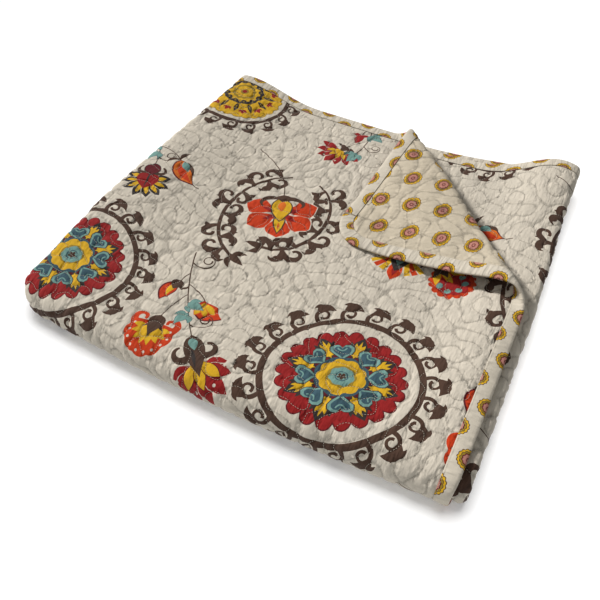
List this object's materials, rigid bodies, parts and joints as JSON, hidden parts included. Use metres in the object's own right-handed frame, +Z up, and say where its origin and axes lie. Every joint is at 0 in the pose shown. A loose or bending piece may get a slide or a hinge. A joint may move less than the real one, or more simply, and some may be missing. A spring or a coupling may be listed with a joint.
{
  "type": "quilted throw",
  "caption": "Quilted cotton throw with a bound edge, folded into a flat stack with one corner of the top layer turned back to show its reverse.",
  "frame": {"origin": "under the middle of the folded stack, on the surface it lies on", "axes": "+Z up through the layers, +X along the front fold towards the open side with the turned-back corner, +Y from the front fold to the bound edges at the back"},
  "size_m": [0.6608, 0.636, 0.0789],
  "materials": {
    "quilt": "matte",
    "binding": "matte"
  },
  "bodies": {
    "root": {"quilt": "quilt", "binding": "binding"}
  },
  "joints": []
}
